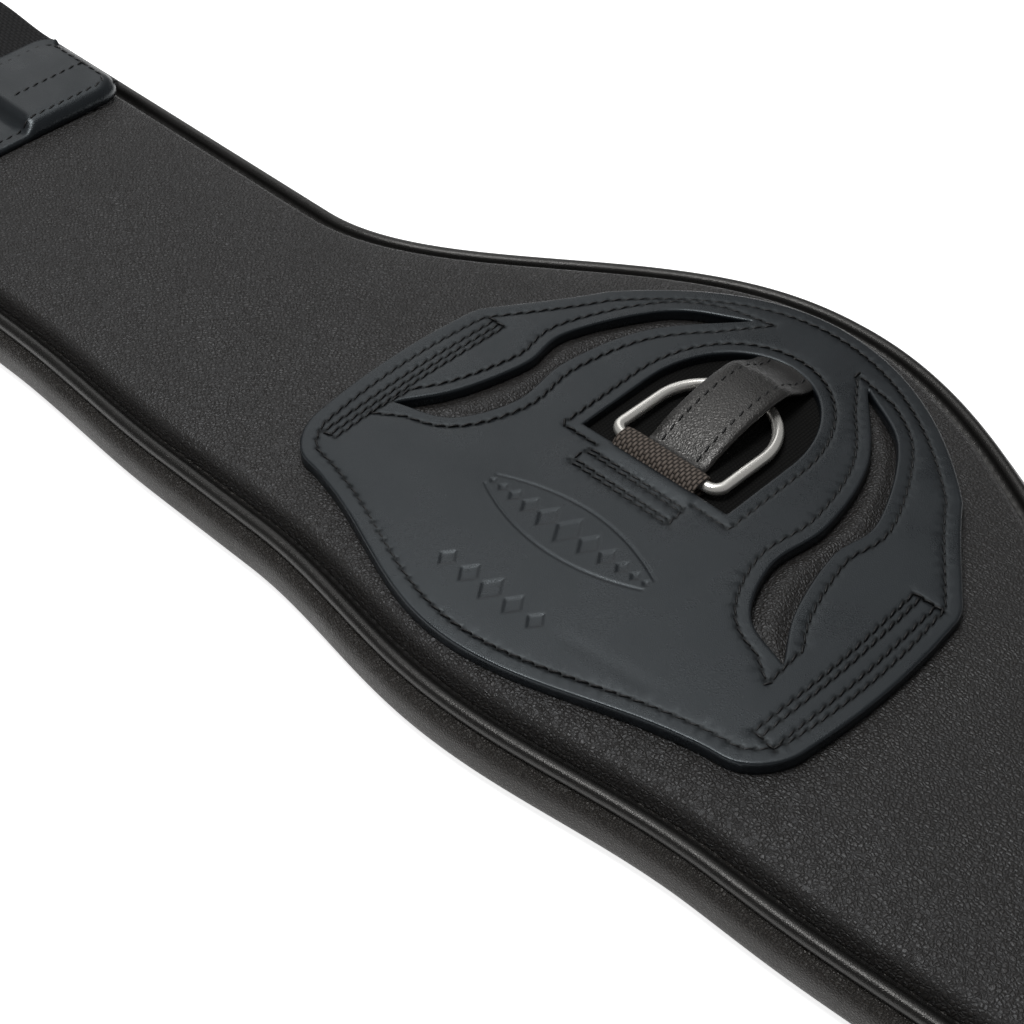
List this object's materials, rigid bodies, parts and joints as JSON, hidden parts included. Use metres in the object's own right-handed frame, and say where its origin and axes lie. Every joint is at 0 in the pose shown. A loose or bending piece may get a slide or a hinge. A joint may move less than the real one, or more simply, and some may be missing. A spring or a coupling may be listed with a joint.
{
  "type": "saddle girth",
  "caption": "Anatomic padded leather saddle girth with piped edges, a stitched centre patch with a windowed D-ring, and elasticated roller buckles at its ends.",
  "frame": {"origin": "bottom centre of the padded body, on the surface that the lining rests on", "axes": "+X along the girth, +Y towards the horse's front, where the middle bulges out, +Z out of the outer side"},
  "size_m": [0.76, 0.1744, 0.0297],
  "materials": {
    "lining_leather": "satin",
    "foam": "matte",
    "web": "matte",
    "panel_leather": "satin",
    "piping_leather": "satin",
    "patch_leather": "satin",
    "backing_cloth": "matte",
    "keeper_web": "matte",
    "strap_leather": "satin",
    "steel": "polished",
    "elastic": "matte",
    "thread": "matte"
  },
  "bodies": {
    "girth": {"lining_panel": "lining_leather", "lining_foam": "foam", "core_web": "web", "outer_foam": "foam", "outer_panel": "panel_leather", "edge_piping": "piping_leather", "centre_patch": "patch_leather", "window_backing": "backing_cloth", "ring_keeper": "keeper_web", "ring_strap": "strap_leather", "end_patch_left": "patch_leather", "end_patch_right": "patch_leather", "elastic_left_front": "elastic", "elastic_left_rear": "elastic", "elastic_right_front": "elastic", "elastic_right_rear": "elastic"},
    "d_ring": {"d_ring": "steel"},
    "chape_left_front": {"chape_left_front": "strap_leather"},
    "buckle_frame_left_front": {"buckle_frame_left_front": "steel"},
    "buckle_tongue_left_front": {"buckle_tongue_left_front": "steel"},
    "buckle_roller_left_front": {"buckle_roller_left_front": "steel"},
    "chape_left_rear": {"chape_left_rear": "strap_leather"},
    "buckle_frame_left_rear": {"buckle_frame_left_rear": "steel"},
    "buckle_tongue_left_rear": {"buckle_tongue_left_rear": "steel"},
    "buckle_roller_left_rear": {"buckle_roller_left_rear": "steel"},
    "chape_right_front": {"chape_right_front": "strap_leather"},
    "buckle_frame_right_front": {"buckle_frame_right_front": "steel"},
    "buckle_tongue_right_front": {"buckle_tongue_right_front": "steel"},
    "buckle_roller_right_front": {"buckle_roller_right_front": "steel"},
    "chape_right_rear": {"chape_right_rear": "strap_leather"},
    "buckle_frame_right_rear": {"buckle_frame_right_rear": "steel"},
    "buckle_tongue_right_rear": {"buckle_tongue_right_rear": "steel"},
    "buckle_roller_right_rear": {"buckle_roller_right_rear": "steel"}
  },
  "joints": [
    {"name": "ring_lift", "type": "hinge", "parent": "girth", "child": "d_ring", "pos_m": [0, 0.0023, 0.0216], "axis": [1, 0, 0], "range_deg": [0, 3]},
    {"name": "elastic_stretch_left_front", "type": "slide", "parent": "girth", "child": "chape_left_front", "axis": [-1, 0, 0], "range_m": [0, 0.02], "stiffness_N_per_m": 4000, "deforming": ["elastic_left_front"]},
    {"name": "buckle_lift_left_front", "type": "hinge", "parent": "chape_left_front", "child": "buckle_frame_left_front", "pos_m": [-0.33, -0.0026, 0.02266], "axis": [0, 1, 0], "range_deg": [0, 50]},
    {"name": "tongue_lift_left_front", "type": "hinge", "parent": "buckle_frame_left_front", "child": "buckle_tongue_left_front", "pos_m": [-0.33, -0.0026, 0.02266], "axis": [0, 1, 0], "range_deg": [0, 90]},
    {"name": "roller_spin_left_front", "type": "hinge", "parent": "buckle_frame_left_front", "child": "buckle_roller_left_front", "pos_m": [-0.362, -0.0026, 0.02266], "axis": [0, 1, 0], "continuous": true},
    {"name": "elastic_stretch_left_rear", "type": "slide", "parent": "girth", "child": "chape_left_rear", "axis": [-1, 0, 0], "range_m": [0, 0.02], "stiffness_N_per_m": 4000, "deforming": ["elastic_left_rear"]},
    {"name": "buckle_lift_left_rear", "type": "hinge", "parent": "chape_left_rear", "child": "buckle_frame_left_rear", "pos_m": [-0.33, -0.0526, 0.02266], "axis": [0, 1, 0], "range_deg": [0, 50]},
    {"name": "tongue_lift_left_rear", "type": "hinge", "parent": "buckle_frame_left_rear", "child": "buckle_tongue_left_rear", "pos_m": [-0.33, -0.0526, 0.02266], "axis": [0, 1, 0], "range_deg": [0, 90]},
    {"name": "roller_spin_left_rear", "type": "hinge", "parent": "buckle_frame_left_rear", "child": "buckle_roller_left_rear", "pos_m": [-0.362, -0.0526, 0.02266], "axis": [0, 1, 0], "continuous": true},
    {"name": "elastic_stretch_right_front", "type": "slide", "parent": "girth", "child": "chape_right_front", "axis": [1, 0, 0], "range_m": [0, 0.02], "stiffness_N_per_m": 4000, "deforming": ["elastic_right_front"]},
    {"name": "buckle_lift_right_front", "type": "hinge", "parent": "chape_right_front", "child": "buckle_frame_right_front", "pos_m": [0.33, -0.0026, 0.02266], "axis": [0, -1, 0], "range_deg": [0, 50]},
    {"name": "tongue_lift_right_front", "type": "hinge", "parent": "buckle_frame_right_front", "child": "buckle_tongue_right_front", "pos_m": [0.33, -0.0026, 0.02266], "axis": [0, -1, 0], "range_deg": [0, 90]},
    {"name": "roller_spin_right_front", "type": "hinge", "parent": "buckle_frame_right_front", "child": "buckle_roller_right_front", "pos_m": [0.362, -0.0026, 0.02266], "axis": [0, -1, 0], "continuous": true},
    {"name": "elastic_stretch_right_rear", "type": "slide", "parent": "girth", "child": "chape_right_rear", "axis": [1, 0, 0], "range_m": [0, 0.02], "stiffness_N_per_m": 4000, "deforming": ["elastic_right_rear"]},
    {"name": "buckle_lift_right_rear", "type": "hinge", "parent": "chape_right_rear", "child": "buckle_frame_right_rear", "pos_m": [0.33, -0.0526, 0.02266], "axis": [0, -1, 0], "range_deg": [0, 50]},
    {"name": "tongue_lift_right_rear", "type": "hinge", "parent": "buckle_frame_right_rear", "child": "buckle_tongue_right_rear", "pos_m": [0.33, -0.0526, 0.02266], "axis": [0, -1, 0], "range_deg": [0, 90]},
    {"name": "roller_spin_right_rear", "type": "hinge", "parent": "buckle_frame_right_rear", "child": "buckle_roller_right_rear", "pos_m": [0.362, -0.0526, 0.02266], "axis": [0, -1, 0], "continuous": true}
  ]
}
